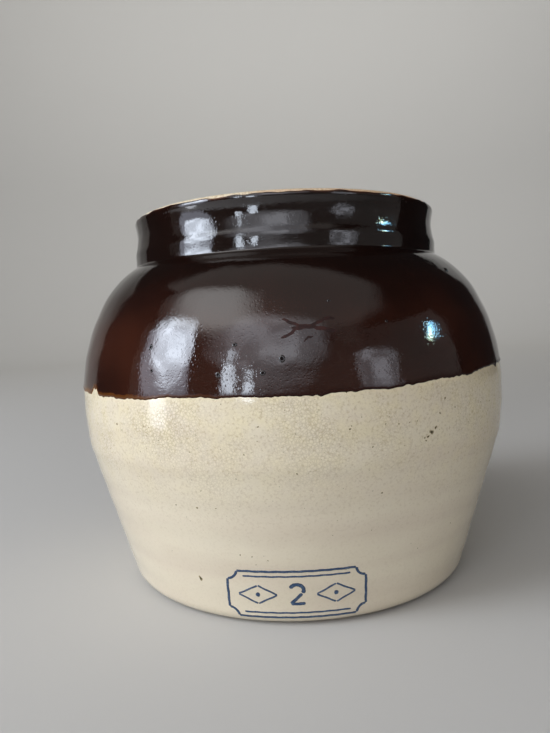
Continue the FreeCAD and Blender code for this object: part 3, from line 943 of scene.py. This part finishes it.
draw = np.random.default_rng(FRECKLE_SEED)
freckle_side = draw.uniform(-180, 180, FRECKLES)
freckle_height = FRECKLE_LOWEST + FRECKLE_SPAN * draw.random(FRECKLES) ** 0.6
freckle_size = FRECKLE_SIZE + FRECKLE_GROWTH * draw.random(FRECKLES) ** 3
freckles = np.stack([freckle_side, freckle_height, freckle_size], axis=-1)
side, height, size = np.concatenate([SPECKS, freckles]).T[..., None, None]
way = np.linspace(0, 2 * math.pi, SPECK_SIDES, endpoint=False)
share = np.array(SPECK_SHARES)[:, None]
lobe = 1 + 0.28 * np.sin(2 * way + 9 * side) + 0.18 * np.sin(3 * way + 5 * height)
at, up = spot(side, height, size * share * lobe, way)
speck_lift = cream_stand(at, up) + SPECK_RISE * (1 - share**2) - SPECK_SINK
speck_points = surface(outer, place_at(outer, up), speck_lift, at)
specks = discs("iron_specks", speck_points, {"edge": np.broadcast_to(share, at.shape)})

# Iron stain in the glaze: near black in the middle, olive brown, then tan at the rim where it fades out.
iron, shader = finish("iron_stain_in_glaze")
from_middle = add(iron, "Attribute", give="Fac", attribute_name="edge")
where = add(iron, "TexCoord", give="Object")
bleed = add(iron, "TexNoise", {"Vector": where, "Scale": 2500.0, "Detail": 2.0})
spread_out = add(iron, "Math", {0: bleed, 1: 0.5, 2: -0.25}, operation="MULTIPLY_ADD")
halo_at = add(iron, "Math", {0: from_middle, 1: spread_out}, operation="ADD", use_clamp=True)
stain = add(iron, "ValToRGB", {"Fac": halo_at})
ramp = stain.node.color_ramp
ramp.elements[0].color, ramp.elements[1].color = colour("#2a2419"), colour("#c9bb9c")
for stop, code in ((0.35, "#4a4029"), (0.7, "#9a8a66")):
    ramp.elements.new(stop).color = colour(code)
feed(iron, shader, {"Base Color": stain, "Roughness": 0.2, "IOR": 1.55})
specks.data.materials.append(iron)
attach(specks, "root")


# Studio. A pale sweep stands all round, its floor curving up into a low wall, open to a dim ceiling. Soft
# panels stand where a window and lamps would be, and show in the glaze as broad and narrow lights.

SWEEP_INNER = (40, 500)
SWEEP_FLAT = 1700
SWEEP_BEND = 700
SWEEP_TOP = 1500
SWEEP_SIDES = 96
POT_MIDDLE = (0, 0, 0.09)

bend_turn = np.linspace(0, math.pi / 2, 14)[1:-1]
sweep_wall = SWEEP_FLAT + SWEEP_BEND
sweep_radius = [[*SWEEP_INNER, SWEEP_FLAT], SWEEP_FLAT + SWEEP_BEND * np.sin(bend_turn), [sweep_wall] * 2]
sweep_height = [[0, 0, 0], SWEEP_BEND - SWEEP_BEND * np.cos(bend_turn), [SWEEP_BEND, SWEEP_TOP]]
sweep_radius, sweep_height = np.concatenate(sweep_radius)[:, None], np.concatenate(sweep_height)[:, None]
sweep_turn = np.linspace(0, 2 * math.pi, SWEEP_SIDES, endpoint=False)
sweep = discs("studio_sweep", turned(sweep_radius, sweep_height, sweep_turn))
paper, shader = finish("pale_sweep_paper")
feed(paper, shader, {"Base Color": colour("#c2c0bb"), "Roughness": 0.9, "Specular IOR Level": 0.1})
sweep.data.materials.append(paper)

room = bpy.data.worlds.new("dim_room")
room.use_nodes = True
feed(room, room.node_tree.nodes["Background"], {"Color": colour("#ffffff"), "Strength": 0.015})
bpy.context.scene.world = room


def tilt(degrees, axis):
    """A rotation of that many degrees about an axis."""
    return Matrix.Rotation(math.radians(degrees), 4, axis)


def panel(name, side, rise, wide, tall, brightness, tint="#ffffff", fade=0.0, clouds=0.0, round_edge=False,
          distance=1.5, lean=0.0, **seen):
    """A panel seen from the pot at that many degrees round from its front and up, wide and tall in
    degrees, facing the pot, its top leaning to the left. Its power is its brightness times pi times its
    area. Where x and y run from -1 to 1 over it, it dims as x^4 + y^4 goes from fade to 1, or x^2 + y^2
    on a round one."""
    lamp = bpy.data.lights.new(name, "AREA")
    lamp.shape = "RECTANGLE"
    lamp.size = 2 * distance * math.tan(math.radians(wide / 2))
    lamp.size_y = 2 * distance * math.tan(math.radians(tall / 2))
    lamp.energy = brightness * math.pi * lamp.size * lamp.size_y
    lamp.color = colour(tint)[:3]
    lamp.use_nodes = True
    across = add(lamp, "NewGeometry", give="Parametric")
    off = add(lamp, "VectorMath", {0: across, 1: (2, 2, 0), 2: (-1, -1, 0)}, operation="MULTIPLY_ADD")
    square = add(lamp, "VectorMath", {0: off, 1: off}, operation="MULTIPLY")
    shape = off if round_edge else square
    reach = add(lamp, "VectorMath", {0: shape, 1: shape}, give="Value", operation="DOT_PRODUCT")
    falling = {"Value": reach, "From Min": fade, "To Min": 1.0, "To Max": 0.0}
    even = add(lamp, "MapRange", falling, interpolation_type="SMOOTHSTEP")
    drift = add(lamp, "TexNoise", {"Vector": across, "Scale": 3.5, "Detail": 2.0})
    dimmed = {"Value": drift, "From Min": 0.4, "From Max": 0.6, "To Min": 1.0 - clouds}
    cloudy = add(lamp, "MapRange", dimmed, interpolation_type="SMOOTHSTEP")
    strength = add(lamp, "Math", {0: even, 1: cloudy}, operation="MULTIPLY")
    feed(lamp, lamp.node_tree.nodes["Emission"], {"Strength": strength})
    stand = put(name, lamp)
    aim = tilt(side, "Z") @ tilt(90 - rise, "X")
    out = Matrix.Translation((0, 0, distance))
    stand.matrix_world = Matrix.Translation(POT_MIDDLE) @ aim @ out @ tilt(lean, "Z")
    for kind, shows in {"camera": False, **seen}.items():
        setattr(stand, "visible_" + kind, shows)


panel("left_window", -66, 23.5, 24, 34, 13.0, "#e6f1ff", fade=0.02, clouds=0.45, lean=11)
panel("window_reveal", -67, 14, 29, 35, 2.3, "#e6ecff", fade=0.7, lean=6, diffuse=False)
panel("window_sill", -64, -8, 8.5, 16, 5.5, "#eef4ff", fade=0.9, distance=0.42, diffuse=False)
panel("left_fill", -70, 22, 50, 50, 2.5, "#f6f4ff", round_edge=True, glossy=False)
panel("second_window", -31, 9.5, 6, 13, 13.0, "#e6f1ff", fade=0.2, clouds=0.5)
panel("second_window_top", -31, 22, 5, 13, 7.0, "#e6f1ff", fade=0.2, clouds=0.6)
panel("third_window", -21, 4, 6, 18, 10.0, "#e6f1ff", fade=0.3)
panel("front_glow", -12, 28, 64, 48, 2.7, "#f2f5ff", clouds=0.5, round_edge=True)
panel("right_lamp", 82, 22.5, 10.5, 4, 30.0, "#8fd6ff", clouds=0.6, round_edge=True, diffuse=False)
panel("right_lamp_core", 80, 21.8, 5.5, 2.6, 26.0, "#f2ffb4", clouds=0.5, round_edge=True, diffuse=False)
panel("right_doorway", 43, 12, 22, 24, 2.2, "#eef2ff", clouds=0.7)
panel("ceiling_by_the_window", -50, 46, 50, 36, 2.2, round_edge=True)
panel("ceiling", -18, 66, 102, 60, 0.34, "#fff8f2", fade=0.3)

# Two dark cards, out of sight beside the pot, keep the pale walls out of the sides of the glossy glaze.
# Each runs between two turns in degrees from the front.
CARDS = {"left_card": (-121, -88), "right_card": (92, 136)}
CARD_RADIUS = 1250
CARD_HEIGHTS = (20.0, 1400.0)

cloth, shader = finish("black_card")
feed(cloth, shader, {"Base Color": colour("#1a1716"), "Roughness": 0.9})
for name, ends in CARDS.items():
    card_turn = np.radians(np.linspace(*ends, 9) - 90)
    card_points = turned(CARD_RADIUS, np.array(CARD_HEIGHTS)[:, None], card_turn)
    low, high = np.arange(18).reshape(2, 9)
    card = mesh_piece(name, card_points, faces(low[1:], low[:-1], high[:-1], high[1:]))
    card.data.shade_flat()
    card.data.materials.append(cloth)
    card.visible_camera = card.visible_diffuse = card.visible_shadow = False

# One more lamp, high behind the pot, lights the sweep there.
backdrop_lamp = bpy.data.lights.new("backdrop_lamp", "AREA")
backdrop_lamp.shape = "RECTANGLE"
backdrop_lamp.size, backdrop_lamp.size_y = 1.8, 0.6
backdrop_lamp.spread = math.radians(155)
backdrop_lamp.energy = 15.5
backdrop_stand = put("backdrop_lamp", backdrop_lamp)
backdrop_stand.matrix_world = Matrix.Translation((0, 1.1, 1.9)) @ tilt(42, "X")
backdrop_stand.visible_camera = backdrop_stand.visible_glossy = False

# The camera stands close in front, below the rim, and looks slightly down. Its lens is its sensor times
# the frame's distance over the frame's height.
CAMERA_AT = (0, -0.26435, 0.10161)
CAMERA_HEADING = 1.472
CAMERA_DIP = 4.03
CAMERA_ROLL = -2.564
SENSOR = 36.0
FRAME_DISTANCE_PIXELS = 600
FRAME_HEIGHT_PIXELS = 733

camera = put("camera", bpy.data.cameras.new("camera"))
camera.data.sensor_width = SENSOR
camera.data.lens = SENSOR * FRAME_DISTANCE_PIXELS / FRAME_HEIGHT_PIXELS
aim = tilt(CAMERA_HEADING, "Z") @ tilt(90 - CAMERA_DIP, "X") @ tilt(CAMERA_ROLL, "Z")
camera.matrix_world = Matrix.Translation(CAMERA_AT) @ aim
bpy.context.scene.camera = camera
bpy.context.scene.view_settings.view_transform = "Standard"
